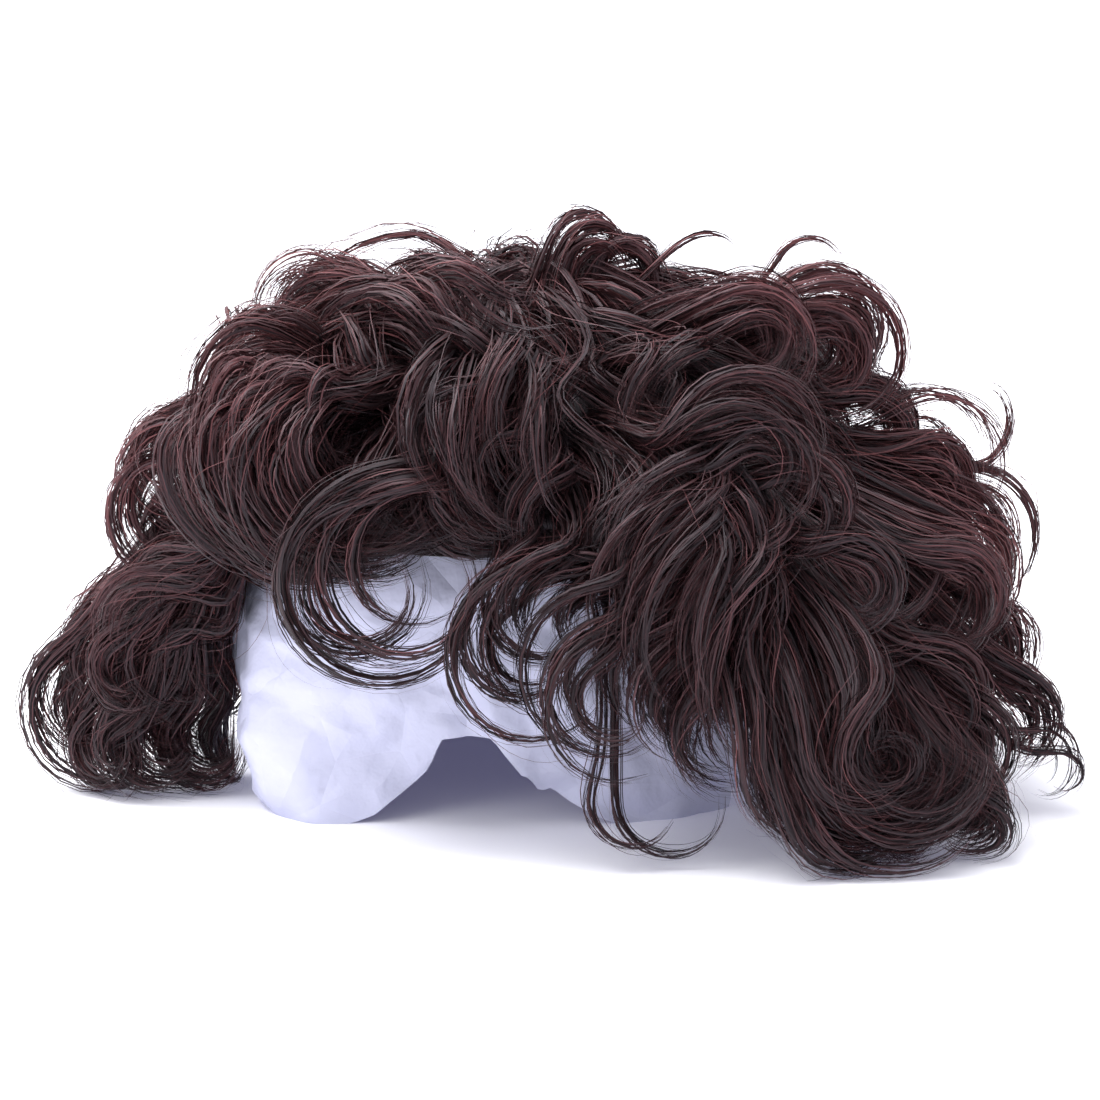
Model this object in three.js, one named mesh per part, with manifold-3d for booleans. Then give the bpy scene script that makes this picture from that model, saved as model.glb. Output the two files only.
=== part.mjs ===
// Hair topper of short loose curls, standing on a hollow stand of crumpled white paper.
// Millimetres, +Z up, front toward -Y. Layout origin: the cap's axis on the floor.
import * as THREE from "three";
import Module from "manifold-3d";
import { mergeVertices } from "three/addons/utils/BufferGeometryUtils.js";

const wasm = await Module();
wasm.setup();

// Driving dimensions
const GAP = 0.35;
const WELD = 0.002;
const CAP = { halfWidth: 66, halfDepth: 56, rise: 46, centreZ: 52, wall: 1.2, around: 36 };
CAP.tilts = [12, 24, 36, 48, 60, 71];
const CLIP = { length: 34, height: 9, thickness: 1.8, above: 0.9, below: 0.5, tilt: 56 };
CLIP.sections = 7;
CLIP.endTaper = 0.7;
const STAND = { wall: 1.5, around: 32, shoulderZ: 58, creaseFade: 14 };
STAND.inset = CAP.wall + CLIP.above + CLIP.thickness + CLIP.below;
const ROOTS = { centreX: 8, halfWidth: 82, halfDepth: 73, rise: 72, edge: 0.88, bottomZ: 62, around: 20 };
ROOTS.tilts = [16, 33, 50, 65, 74];
ROOTS.ripple = 0.03;
ROOTS.underlap = 6;
const LOCK = { sides: 5, fineSides: 4, fineWidth: 4, steps: 8, tighten: 0.22, advance: 5 };
LOCK.rootDepth = 7;
LOCK.stemLift = 0.42;
LOCK.stemEnd = 0.21;
LOCK.clearance = 0.7;
LOCK.floorShare = 0.5;
LOCK.headingStep = 0.02;
LOCK.standGap = GAP + 0.1;
const BACK = { centreX: 12, squash: 0.94, azimuthJitter: 5, reachJitter: 4, heightJitter: 5, radiusJitter: 0.15 };
BACK.startTurn = 20;
const TURN_TO_FRONT = 0.3;
const ARCH = { frontY: -80, backY: -20 };
const FLOOR_BLOCK = { side: 600, depth: 60 };

// Stand wall sections, from the foot up to where the dome under the cap begins;
// a higher power makes a squarer section
const STAND_SECTIONS = [
  { z: 0, halfWidth: 58, halfDepth: 51, power: 4.6 },
  { z: 9, halfWidth: 60, halfDepth: 51, power: 4.3 },
  { z: 20, halfWidth: 65, halfDepth: 52, power: 3.7 },
  { z: 32, halfWidth: 67, halfDepth: 53, power: 3.0 },
  { z: 44, halfWidth: 64, halfDepth: 52.5, power: 2.5 },
  { z: 55, halfWidth: 62, halfDepth: 52, power: 2.1 },
];
const DOME_TILTS = [70, 46, 22];

// Creases of the stand: azimuth from the front toward +X, lean per mm of height, depth in mm, spread
const CREASES = [
  { at: -172, lean: 0.5, depth: -3.0, spread: 14 },
  { at: -140, lean: -0.4, depth: 2.6, spread: 16 },
  { at: -104, lean: 0.3, depth: -3.4, spread: 13 },
  { at: -78, lean: -0.5, depth: 2.4, spread: 15 },
  { at: -52, lean: 0.35, depth: -2.6, spread: 12 },
  { at: -22, lean: -0.4, depth: 2.2, spread: 14 },
  { at: 10, lean: 0.45, depth: -2.4, spread: 12 },
  { at: 44, lean: -0.3, depth: 2.6, spread: 15 },
  { at: 82, lean: 0.4, depth: -3.2, spread: 14 },
  { at: 118, lean: -0.35, depth: 2.4, spread: 16 },
  { at: 150, lean: 0.3, depth: -2.2, spread: 13 },
];

// Torn arch at the front foot
const ARCH_OUTLINE = [
  { x: -36, z: -5 },
  { x: -36, z: 0 },
  { x: -23, z: 9 },
  { x: -14, z: 21 },
  { x: -1, z: 22 },
  { x: 6, z: 13 },
  { x: 18, z: 5.6 },
  { x: 29, z: 0 },
  { x: 29, z: -5 },
];

// A row for each lock. Curl centre, radius, angle where the curl starts (0 right, 90 up),
// sweep of the curl, half width of the lock, tilt of its root from the crown.
const LOCK_COLUMNS = ["name", "x", "y", "z", "radius", "start", "sweep", "width", "tilt"];
const LOCK_ROWS = [
  ["left roll", -55, -61, 89, 18, 95, 200, 8.5, 32],
  ["left upper ring", -45, -58, 104, 12, 40, 225, 4.5, 25],
  ["left crown fringe", -46, -5, 119, 14, 75, 150, 5, 15],
  ["left outline wave", -57, -30, 100, 21, 105, 95, 7, 30],
  ["left flick", -71, -25, 92, 20, 265, -90, 5, 60],
  ["left shoulder", -77, -35, 53, 15, 60, 150, 9, 55],
  ["left tail, outer", -99, -15, 19, 18, 95, 250, 6.5, 66],
  ["left tail, inner", -89, -28, 34, 11, 80, 235, 8, 64],
  ["left small ring", -74, -10, 15, 7, 110, 290, 2.6, 70],
  ["front loop", -30, -78, 69, 22, 80, 255, 4.6, 45],
  ["fringe edge", -38, -69, 95, 25, 180, 135, 8.5, 40],
  ["centre loop", 11, -84, 57, 18, 85, 230, 5, 58],
  ["right front loop", 27, -91, 46, 18, 80, 255, 5.5, 62],
  ["centre wave, left", -10, -70, 99, 12, 70, 170, 8, 22],
  ["centre wave, right", 3, -71, 93, 11, 75, 165, 7.5, 25],
  ["crown sweep, near", 15, -44, 137, 30, 195, 90, 9, -14],
  ["crown sweep, far", 15, -36, 134, 46, 188, 75, 9.5, -14],
  ["top band", -22, 2, 100, 32, 65, 85, 7, -10],
  ["top twist", 28, 0, 126, 12, 160, -190, 6, 10],
  ["top parting lock", 48, -57, 101, 19, 100, 95, 8, 25],
  ["right top roll, near", 60, -42, 120, 15, 95, -190, 9, 25],
  ["right top roll, far", 83, -15, 112, 15, 100, -215, 7.5, 30],
  ["right middle roll, outer", 107, -8, 78, 20, 110, -150, 5, 50],
  ["right middle roll, inner", 104, -17, 76, 13, 110, -170, 7, 50],
  ["right edge", 105, -22, 60, 20, 60, -120, 9, 62],
  ["centre swirl", 59, -78, 92, 17, 150, -240, 8, 35],
  ["right ring", 84, -80, 68, 13, 115, -235, 6.5, 50],
  ["right flow", 92, -66, 66, 26, 215, 115, 9, 62],
  ["centre fall", 44, -86, 72, 20, 50, -105, 7, 48],
  ["bottom roll", 89, -92, 30, 23, 172, 175, 10, 68],
  ["right under lock", 78, -60, 30, 15, 120, 140, 11, 70],
  ["bottom corner", 106, -66, 17, 11, 70, -190, 9, 68],
  ["right loops", 121, -40, 20, 12, 85, -180, 3.4, 68],
  ["fringe, low", -36, -63, 93, 27, 165, 160, 10, 42],
  ["centre fan", 50, -79, 64, 24, 95, 95, 10, 44],
  ["left lobe, middle", -85, -22, 32, 10, 80, 200, 10, 66],
  ["right core, low", 88, -50, 36, 13, 90, -200, 13, 66],
  ["right core, back", 100, -12, 40, 14, 90, -220, 12, 66],
  ["bottom block", 110, -64, 12, 8, 90, -220, 9, 69],
];

// Fullness of a lock from its root to its tip
const FULLNESS = [
  { at: 0, full: 0.75 },
  { at: 0.25, full: 1 },
  { at: 0.65, full: 1 },
  { at: 1, full: 0.4 },
];

// Locks of the sides and the back, in tiers: azimuths, reach from the axis, curl size, root tilt,
// and how far the curl is pitched back to lie on the dome
const BACK_TIERS = [
  { count: 3, from: 125, to: 240, reach: 46, z: 122, radius: 15, width: 10, sweep: 190, tilt: 18, pitch: 50 },
  { count: 4, from: 108, to: 252, reach: 80, z: 95, radius: 18, width: 12, sweep: 205, tilt: 42, pitch: 25 },
  { count: 5, from: 96, to: 258, reach: 90, z: 60, radius: 20, width: 12.5, sweep: 215, tilt: 60, pitch: 5 },
  { count: 6, from: 102, to: 258, reach: 86, z: 24, radius: 17, width: 11, sweep: 225, tilt: 70, pitch: 0 },
];

const deg = THREE.MathUtils.degToRad;
const lerp = THREE.MathUtils.lerp;

// Repeatable irregularity between -1 and 1
function vary(i, salt) {
  return Math.sin(i * 2.399 + salt * 1.713) * 0.6 + Math.sin(i * 5.117 + salt * 0.931) * 0.4;
}

// Unit direction for an azimuth from the front toward +X
function outward(azimuth) {
  return new THREE.Vector3(Math.sin(deg(azimuth)), -Math.cos(deg(azimuth)), 0);
}

// Point of the cap's outer dome, moved out by an offset
function domePoint(azimuth, tilt, offset) {
  const side = outward(azimuth);
  const s = Math.sin(deg(tilt));
  return new THREE.Vector3(
    side.x * s * (CAP.halfWidth + offset),
    side.y * s * (CAP.halfDepth + offset),
    CAP.centreZ + Math.cos(deg(tilt)) * (CAP.rise + offset),
  );
}

// Closed skin from rows of points; a row of one point is a pole
function skin(rows) {
  const positions = [];
  const starts = rows.map((row) => {
    const first = positions.length / 3;
    row.forEach((p) => positions.push(p.x, p.y, p.z));
    return first;
  });
  const index = [];
  for (let r = 0; r + 1 < rows.length; r++) {
    const n = Math.max(rows[r].length, rows[r + 1].length);
    const at = (row, k) => starts[row] + (rows[row].length === 1 ? 0 : k % n);
    for (let k = 0; k < n; k++) {
      const [a, b] = [at(r, k), at(r, k + 1)];
      const [c, d] = [at(r + 1, k), at(r + 1, k + 1)];
      if (a !== b) index.push(a, b, c);
      if (c !== d) index.push(b, d, c);
    }
  }
  const geometry = new THREE.BufferGeometry();
  geometry.setAttribute("position", new THREE.Float32BufferAttribute(positions, 3));
  geometry.setIndex(index);
  return geometry;
}

function signedVolume(geometry) {
  const p = geometry.attributes.position;
  const [a, b, c] = [new THREE.Vector3(), new THREE.Vector3(), new THREE.Vector3()];
  let total = 0;
  for (let i = 0; i < geometry.index.count; i += 3) {
    a.fromBufferAttribute(p, geometry.index.getX(i));
    b.fromBufferAttribute(p, geometry.index.getX(i + 1));
    c.fromBufferAttribute(p, geometry.index.getX(i + 2));
    total += a.dot(b.cross(c)) / 6;
  }
  return total;
}

// Geometry to a solid for joining and cutting
function solid(geometry) {
  const bare = new THREE.BufferGeometry();
  bare.setAttribute("position", geometry.attributes.position.clone());
  if (geometry.index) bare.setIndex(geometry.index.clone());
  const merged = mergeVertices(bare, 1e-4);
  const triVerts = new Uint32Array(merged.index.array);
  if (signedVolume(merged) < 0) {
    for (let i = 0; i < triVerts.length; i += 3) {
      [triVerts[i], triVerts[i + 1]] = [triVerts[i + 1], triVerts[i]];
    }
  }
  const vertProperties = new Float32Array(merged.attributes.position.array);
  return new wasm.Manifold(new wasm.Mesh({ numProp: 3, vertProperties, triVerts }));
}

// Solid back to geometry
function geometryOf(manifold) {
  const mesh = manifold.getMesh();
  const geometry = new THREE.BufferGeometry();
  geometry.setAttribute("position", new THREE.Float32BufferAttribute(mesh.vertProperties, 3));
  geometry.setIndex(Array.from(mesh.triVerts));
  const welded = mergeVertices(geometry, WELD);
  const index = [];
  for (let i = 0; i < welded.index.count; i += 3) {
    const [a, b, c] = [0, 1, 2].map((k) => welded.index.getX(i + k));
    if (a !== b && b !== c && c !== a) index.push(a, b, c);
  }
  welded.setIndex(index);
  return welded;
}

function largestBody(manifold) {
  const bodies = manifold.decompose();
  return bodies.reduce((best, body) => (body.volume() > best.volume() ? body : best));
}

function ring(count, pointAt) {
  return Array.from({ length: count }, (_, k) => pointAt((360 * k) / count));
}

// Rings of the cap's dome at an offset from its outer face, down to its rim
function capFace(offset) {
  return CAP.tilts.map((t) => ring(CAP.around, (a) => domePoint(a, t, offset)));
}

function capShell() {
  return skin([
    [domePoint(0, 0, 0)],
    ...capFace(0),
    ...capFace(-CAP.wall).reverse(),
    [domePoint(0, 0, -CAP.wall)],
  ]);
}

// Offset of the creased paper at an azimuth and height
function crease(azimuth, z) {
  const fade = THREE.MathUtils.clamp((STAND.shoulderZ - z) / STAND.creaseFade, 0, 1);
  return CREASES.reduce((sum, fold) => {
    const away = THREE.MathUtils.euclideanModulo(azimuth - fold.at - fold.lean * z + 180, 360) - 180;
    return sum + fade * fold.depth * Math.max(0, 1 - Math.abs(away) / fold.spread);
  }, 0);
}

function standRing(section, offset) {
  return ring(STAND.around, (azimuth) => {
    const side = outward(azimuth);
    const wide = Math.abs(side.x / section.halfWidth) ** section.power;
    const deep = Math.abs(side.y / section.halfDepth) ** section.power;
    const reach = (wide + deep) ** (-1 / section.power) + offset + crease(azimuth, section.z);
    return side.multiplyScalar(reach).setZ(section.z);
  });
}

function standFace(offset) {
  const dome = DOME_TILTS.map((t) => ring(STAND.around, (a) => domePoint(a, t, offset - STAND.inset)));
  return [...STAND_SECTIONS.map((section) => standRing(section, offset)), ...dome];
}

function standShell(inner, outer) {
  return skin([
    [domePoint(0, 0, outer - STAND.inset)],
    ...standFace(outer).reverse(),
    ...standFace(inner),
    [domePoint(0, 0, inner - STAND.inset)],
  ]);
}

function archCutter() {
  const shape = new THREE.Shape(ARCH_OUTLINE.map((p) => new THREE.Vector2(p.x, p.z)));
  const cutter = new THREE.ExtrudeGeometry(shape, { depth: ARCH.backY - ARCH.frontY, bevelEnabled: false });
  cutter.rotateX(Math.PI / 2);
  cutter.translate(0, ARCH.backY, 0);
  return cutter;
}

// Plain strip bent to the dome, in the space between the cap and the stand
function clipStrip(azimuth) {
  const outer = -CAP.wall - CLIP.above;
  const inner = outer - CLIP.thickness;
  const reach = lerp(CAP.halfDepth, CAP.halfWidth, Math.abs(Math.sin(deg(azimuth))));
  const halfTurn = CLIP.length / 2 / (reach * Math.sin(deg(CLIP.tilt))) / deg(1);
  const halfTilt = CLIP.height / 2 / CAP.rise / deg(1);
  const rows = Array.from({ length: CLIP.sections }, (_, i) => {
    const along = lerp(-1, 1, i / (CLIP.sections - 1));
    const high = halfTilt * Math.sqrt(1 - CLIP.endTaper * along * along);
    const a = azimuth + along * halfTurn;
    return [
      domePoint(a, CLIP.tilt - high, outer),
      domePoint(a, CLIP.tilt + high, outer),
      domePoint(a, CLIP.tilt + high, inner),
      domePoint(a, CLIP.tilt - high, inner),
    ];
  });
  const middle = (row) => row.reduce((s, p) => s.add(p), new THREE.Vector3()).divideScalar(row.length);
  return skin([[middle(rows[0])], ...rows, [middle(rows[CLIP.sections - 1])]]);
}

// Centre line of a lock: a stem from the cap, then a curl that tightens toward the tip
class LockCurve extends THREE.Curve {
  constructor(lock) {
    super();
    const centre = new THREE.Vector3(lock.x, lock.y, lock.z);
    const side = outward(lock.facing);
    const across = new THREE.Vector3(-side.y, side.x, 0);
    const facing = side.clone().multiplyScalar(Math.cos(deg(lock.pitch))).setZ(Math.sin(deg(lock.pitch)));
    const up = facing.clone().cross(across);
    this.curl = (t) => {
      const angle = deg(lock.start + lock.sweep * t);
      const radius = lock.radius * (1 - LOCK.tighten * t);
      return centre.clone()
        .addScaledVector(across, radius * Math.cos(angle))
        .addScaledVector(up, radius * Math.sin(angle))
        .addScaledVector(facing, (LOCK.advance * t * Math.abs(lock.sweep)) / 360);
    };
    const begin = this.curl(0);
    const rootAzimuth = Math.atan2(begin.x, -begin.y) / deg(1);
    const root = domePoint(rootAzimuth, lock.tilt, LOCK.rootDepth);
    const lift = root.clone().sub(new THREE.Vector3(0, 0, CAP.centreZ)).normalize();
    const heading = this.curl(LOCK.headingStep).sub(begin).normalize();
    const span = root.distanceTo(begin);
    const approach = begin.clone().sub(root).normalize().add(heading).normalize();
    this.stem = new THREE.CubicBezierCurve3(
      root,
      root.clone().addScaledVector(lift, LOCK.stemLift * span),
      begin.clone().addScaledVector(approach, -LOCK.stemEnd * span),
      begin,
    );
    const curlLength = lock.radius * deg(Math.abs(lock.sweep));
    this.share = this.stem.getLength() / (this.stem.getLength() + curlLength);
    this.width = lock.width;
  }

  getPoint(t) {
    const point = t < this.share ? this.stem.getPoint(t / this.share) : this.curl((t - this.share) / (1 - this.share));
    return clearOfStand(point, this.width);
  }
}

// Keeps a lock outside the cap and the stand, and on the floor
function clearOfStand(point, width) {
  const margin = LOCK.clearance * width;
  const rise = Math.max(point.z - CAP.centreZ, 0);
  const inside = Math.hypot(
    point.x / (CAP.halfWidth + margin),
    point.y / (CAP.halfDepth + margin),
    rise / (CAP.rise + margin),
  );
  if (inside < 1) {
    point.x /= inside;
    point.y /= inside;
    point.z += rise / inside - rise;
  }
  point.z = Math.max(point.z, LOCK.floorShare * width);
  return point;
}

// Fullness of a lock at a share of its length
function fullness(t) {
  const next = Math.max(FULLNESS.findIndex((row) => row.at >= t), 1);
  const [a, b] = [FULLNESS[next - 1], FULLNESS[next]];
  return lerp(a.full, b.full, (t - a.at) / (b.at - a.at));
}

function lockSolid(lock) {
  const curve = new LockCurve(lock);
  const steps = LOCK.steps;
  const sides = lock.width < LOCK.fineWidth ? LOCK.fineSides : LOCK.sides;
  const frames = curve.computeFrenetFrames(steps, false);
  const rows = Array.from({ length: steps + 1 }, (_, i) => {
    const t = i / steps;
    const centre = curve.getPointAt(t);
    return ring(sides, (angle) => centre.clone()
      .addScaledVector(frames.normals[i], lock.width * fullness(t) * Math.cos(deg(angle)))
      .addScaledVector(frames.binormals[i], lock.width * fullness(t) * Math.sin(deg(angle))));
  });
  return solid(skin([[curve.getPointAt(0)], ...rows, [curve.getPointAt(1)]]));
}

function frontLocks() {
  return LOCK_ROWS.map((row) => {
    const lock = Object.fromEntries(LOCK_COLUMNS.map((column, k) => [column, row[k]]));
    lock.facing = (TURN_TO_FRONT * Math.atan2(lock.x, -lock.y)) / deg(1);
    lock.pitch = 0;
    return lock;
  });
}

function backLocks() {
  return BACK_TIERS.flatMap((tier, row) => Array.from({ length: tier.count }, (_, i) => {
    const azimuth = lerp(tier.from, tier.to, i / (tier.count - 1)) + BACK.azimuthJitter * vary(i, row);
    const reach = tier.reach + BACK.reachJitter * vary(i, row + 7);
    const place = outward(azimuth).multiplyScalar(reach);
    const turn = (i + row) % 2 === 0 ? 1 : -1;
    return {
      x: place.x + BACK.centreX,
      y: place.y * BACK.squash,
      z: tier.z + BACK.heightJitter * vary(i, row + 3),
      radius: tier.radius * (1 + BACK.radiusJitter * vary(i, row + 5)),
      start: 90 + BACK.startTurn * turn,
      sweep: turn * tier.sweep,
      width: tier.width,
      tilt: tier.tilt,
      pitch: tier.pitch,
      facing: azimuth,
    };
  }));
}

// Point of the root layer's outer face, drawn in toward its edge
function rootPoint(azimuth, tilt) {
  const share = tilt / ROOTS.tilts.at(-1);
  const full = lerp(1, ROOTS.edge, share ** 3) + ROOTS.ripple * vary(azimuth / 10, share * 9) * share;
  const side = outward(azimuth).multiplyScalar(Math.sin(deg(tilt)) * full);
  return new THREE.Vector3(
    ROOTS.centreX * full + side.x * ROOTS.halfWidth,
    side.y * ROOTS.halfDepth,
    CAP.centreZ + Math.cos(deg(tilt)) * ROOTS.rise * full,
  );
}

// The hair: locks joined to a root layer, cut clear of the cap and the stand
function hairSolid() {
  const roots = solid(skin([
    [rootPoint(0, 0)],
    ...ROOTS.tilts.map((tilt) => ring(ROOTS.around, (a) => rootPoint(a, tilt))),
    ring(ROOTS.around, (a) => domePoint(a, ROOTS.tilts.at(-1), -ROOTS.underlap).setZ(ROOTS.bottomZ)),
    [new THREE.Vector3(0, 0, ROOTS.bottomZ)],
  ]));
  const joined = [...frontLocks(), ...backLocks()].reduce((sum, lock) => sum.add(lockSolid(lock)), roots);
  const capRoom = solid(skin([
    [domePoint(0, 0, GAP)],
    ...capFace(GAP),
    ring(CAP.around, (a) => domePoint(a, 90, GAP)),
    [new THREE.Vector3(0, 0, CAP.centreZ)],
  ]));
  const standRoom = solid(skin([
    [domePoint(0, 0, GAP - STAND.inset)],
    ...standFace(LOCK.standGap).reverse(),
    [new THREE.Vector3(0, 0, 0)],
  ]));
  const belowFloor = new THREE.BoxGeometry(FLOOR_BLOCK.side, FLOOR_BLOCK.side, FLOOR_BLOCK.depth)
    .translate(0, 0, -FLOOR_BLOCK.depth / 2);
  return largestBody(joined.subtract(capRoom).subtract(standRoom).subtract(solid(belowFloor)));
}

const MATERIALS = {
  paper: new THREE.MeshStandardMaterial({ name: "white_paper", color: 0xf1eff5, roughness: 0.75 }),
  net: new THREE.MeshStandardMaterial({ name: "cap_net", color: 0x2a1d1a, roughness: 0.9 }),
  clip: new THREE.MeshStandardMaterial({ name: "clip_metal", color: 0x3a2a25, roughness: 0.4, metalness: 0.6 }),
  hair: new THREE.MeshStandardMaterial({ name: "brown_hair", color: 0x3a2420, roughness: 0.5 }),
};

const group = new THREE.Group();

function addPart(name, geometry, material) {
  const mesh = new THREE.Mesh(geometry, material);
  mesh.name = name;
  group.add(mesh);
}

const standPaper = solid(standShell(-STAND.wall, 0)).subtract(solid(archCutter()));
addPart("stand", geometryOf(largestBody(standPaper)), MATERIALS.paper);

addPart("base_cap", geometryOf(solid(capShell())), MATERIALS.net);

const CLIP_PLACES = { clip_front: 0, clip_right: 90, clip_back: 180, clip_left: 270 };
Object.entries(CLIP_PLACES).forEach(([name, azimuth]) => {
  addPart(name, geometryOf(solid(clipStrip(azimuth))), MATERIALS.clip);
});

addPart("hair", geometryOf(hairSolid()), MATERIALS.hair);

// The origin moves to the middle of the foot of the whole
const extent = new THREE.Box3().setFromObject(group);
const middle = extent.getCenter(new THREE.Vector3());
group.position.set(-middle.x, -middle.y, -extent.min.z);

export default group;
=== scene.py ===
"""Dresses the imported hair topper: curled hair in locks and single hairs, and a stand of crumpled paper."""
import math

import bpy
import numpy as np
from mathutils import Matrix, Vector


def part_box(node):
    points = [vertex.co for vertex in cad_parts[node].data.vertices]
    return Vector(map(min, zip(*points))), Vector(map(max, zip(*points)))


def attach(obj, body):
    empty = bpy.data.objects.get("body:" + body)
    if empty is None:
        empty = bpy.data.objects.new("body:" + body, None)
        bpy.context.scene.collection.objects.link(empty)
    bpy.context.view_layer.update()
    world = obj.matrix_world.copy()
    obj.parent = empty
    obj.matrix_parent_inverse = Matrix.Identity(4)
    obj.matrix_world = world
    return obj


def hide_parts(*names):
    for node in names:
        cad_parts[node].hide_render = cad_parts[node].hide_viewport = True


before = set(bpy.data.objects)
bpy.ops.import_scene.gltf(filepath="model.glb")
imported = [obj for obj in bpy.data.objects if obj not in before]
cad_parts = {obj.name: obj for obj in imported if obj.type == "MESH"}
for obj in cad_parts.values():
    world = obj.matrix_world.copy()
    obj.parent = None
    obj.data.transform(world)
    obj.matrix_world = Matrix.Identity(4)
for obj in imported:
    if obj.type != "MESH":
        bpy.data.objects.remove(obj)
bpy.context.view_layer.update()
rng = np.random.default_rng(20)

# Layout in millimetres, with its origin on the floor under the middle of the cap
MM = 0.001
cap_low, cap_high = (np.array(corner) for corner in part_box("base_cap"))
LAYOUT_ORIGIN = np.array([(cap_low[0] + cap_high[0]) / 2, (cap_low[1] + cap_high[1]) / 2, 0.0])

# Sizes shared with the solids
CAP = dict(half_width=66, half_depth=56, rise=46, centre_z=52)
HAIR_CENTRE_X = 12
TURN_TO_FRONT = 0.3
CURL = dict(tighten=0.22, advance=8, root_depth=4, floor_share=0.62)

# The paper: sizes in mm, rows of its mesh, the angle in degrees that makes a crease,
# the smooth band under its shoulder, the last row's tilt and how rows crowd toward the shoulder
STAND = dict(
    wall=1.2, inset=4.4, around=216, wall_rows=42, dome_rows=9, shoulder_z=58, crease=30,
    smooth_band=20, last_tilt=1.5, crowding=1.6,
)
# Stand wall sections, from the foot up to the dome under the cap; a higher power makes a squarer section
STAND_SECTIONS = np.array(
    [
        (0, 58, 51, 4.6),
        (9, 60, 51, 4.3),
        (20, 65, 52, 3.7),
        (32, 67, 53, 3.0),
        (44, 64, 52.5, 2.5),
        (55, 62, 52, 2.1),
        (60, 60.7, 50.8, 2.0),
    ],
    dtype=[("z", float), ("half_width", float), ("half_depth", float), ("power", float)],
)
# Flat facets of the crumpled paper: their size in mm, how far they stand out, how they lean
FACETS = np.array(
    [(26, 5.6, 0.35), (13, 3.0, -0.5), (6, 1.0, 0.8)],
    dtype=[("size", float), ("height", float), ("lean", float)],
)
# Random heights at the facets' corners, and where each size of facet starts in them
FACET_CELLS = 64
FACET_HEIGHTS = rng.uniform(-1, 1, (FACET_CELLS, FACET_CELLS))
FACET_START = dict(first=20, between=7)
# Torn arch at the front foot
ARCH_X = (-36, -31, -23, -18, -14, -7, -1, 6, 8, 11, 14, 18, 25, 30)
ARCH_Z = (0, 2, 9, 13, 21, 22, 21.8, 12.8, 12, 8, 9, 6, 2, 0)

# A row for each lock. Curl centre, radius, angle where the curl starts (0 right, 90 up),
# sweep of the curl, half width of the lock, tilt of its root from the crown.
LOCK_COLUMNS = ("name", "x", "y", "z", "radius", "start", "sweep", "width", "tilt")
LOCK_ROWS = [
    ("left roll", -55, -61, 89, 18, 95, 200, 8.5, 32),
    ("left upper ring", -45, -58, 104, 12, 40, 225, 4.5, 25),
    ("left crown fringe", -46, -5, 117, 14, 75, 150, 5, 15),
    ("left outline wave", -51, -30, 97, 20, 105, 95, 7, 30),
    ("left flick", -75, -25, 92, 20, 265, -90, 6, 60),
    ("left shoulder", -77, -35, 53, 15, 60, 150, 9, 55),
    ("left tail, outer", -98, -15, 20, 18, 95, 260, 8, 66),
    ("left tail, inner", -89, -28, 34, 11, 80, 235, 8, 64),
    ("left small ring", -74, -10, 15, 7, 110, 290, 2.6, 70),
    ("front loop", -27, -78, 70, 23, 80, 300, 7.4, 45),
    ("fringe edge", -38, -69, 95, 25, 180, 135, 8.5, 40),
    ("centre loop", 8, -84, 57, 20, 85, 250, 5.8, 58),
    ("right front loop", 26, -91, 44, 20, 80, 255, 6, 62),
    ("centre wave, left", -10, -70, 99, 12, 70, 170, 8, 22),
    ("centre wave, right", 3, -71, 93, 11, 75, 165, 7.5, 25),
    ("crown sweep, near", 15, -44, 134, 30, 205, 85, 9, 22),
    ("crown sweep, far", 15, -36, 131, 46, 198, 70, 9.5, 28),
    ("top band", -22, 2, 97, 32, 65, 85, 7, -10),
    ("top twist", 23, 0, 129, 12, 170, -200, 6, 10),
    ("top parting lock", 48, -57, 101, 19, 100, 95, 8, 25),
    ("right top roll, near", 61, -42, 115, 15, 95, -190, 9, 25),
    ("right top roll, far", 80, -15, 110, 17.5, 105, -245, 8.5, 30),
    ("right middle roll, outer", 107, -8, 78, 20, 110, -200, 5, 50),
    ("right middle roll, inner", 104, -17, 76, 14, 110, -240, 7, 50),
    ("right edge", 105, -22, 60, 20, 60, -190, 9, 62),
    ("centre swirl", 59, -78, 92, 17, 150, -240, 8, 35),
    ("right ring", 84, -80, 68, 13, 115, -235, 6.5, 50),
    ("right flow", 92, -66, 66, 26, 215, 115, 9, 62),
    ("centre fall", 44, -86, 72, 20, 50, -105, 7, 48),
    ("bottom roll", 88, -95, 28, 23, 172, 175, 10, 68),
    ("right under lock", 78, -60, 30, 15, 120, 140, 11, 70),
    ("bottom corner", 106, -66, 17, 11, 70, -190, 9, 68),
    ("right loops", 121, -40, 20, 13, 85, -200, 5.0, 68),
]
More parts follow.
